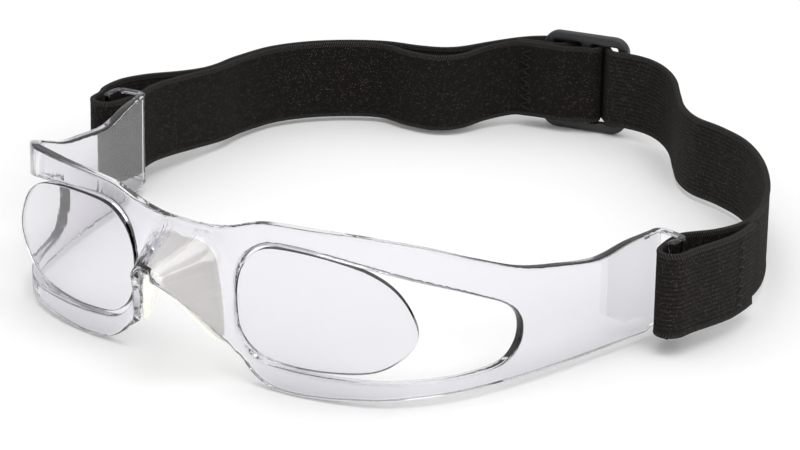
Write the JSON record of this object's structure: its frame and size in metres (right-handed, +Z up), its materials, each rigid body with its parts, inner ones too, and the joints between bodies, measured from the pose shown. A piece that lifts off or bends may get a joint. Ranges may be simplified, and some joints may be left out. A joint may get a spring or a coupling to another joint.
{
  "type": "sports protective goggles",
  "caption": "Clear wraparound sports goggles with a beaked nose bridge, oval lenses, a soft nose pad and a black elastic strap hooked to the temples and set by a slider.",
  "frame": {"origin": "on the surface the goggles stand on, under the centre of their bounding box", "axes": "+Z up, -Y the way the wearer looks, +X the wearer's left"},
  "size_m": [0.1836, 0.2118, 0.0408],
  "materials": {
    "clear_polycarbonate": "clear polished injection-moulded polycarbonate",
    "clear_lens": "clear optical polycarbonate, polished",
    "soft_pad": "soft cream translucent elastomer, satin to glossy",
    "elastic_webbing": "black knitted elastic webbing, matt, with grey selvage stitches",
    "slider_plastic": "black moulded plastic, satin",
    "thread": "black sewing thread"
  },
  "bodies": {
    "frame_body": {"frame": "clear_polycarbonate", "lens_left": "clear_lens", "lens_right": "clear_lens", "nose_pad": "soft_pad"},
    "strap_body": {"strap": "elastic_webbing", "loop_stitching": "thread", "slider_stitching": "thread"},
    "slider_body": {"strap_slider": "slider_plastic"}
  },
  "joints": [
    {"name": "strap_tilt", "type": "hinge", "parent": "frame_body", "child": "strap_body", "pos_m": [0.00011, -0.01196, 0.015], "axis": [1, 0, 0], "range_deg": [-4, 4]},
    {"name": "slider_shift", "type": "slide", "parent": "strap_body", "child": "slider_body", "axis": [0.9744, 0.225, 0], "range_m": [-0.0003, 0.0003]}
  ]
}
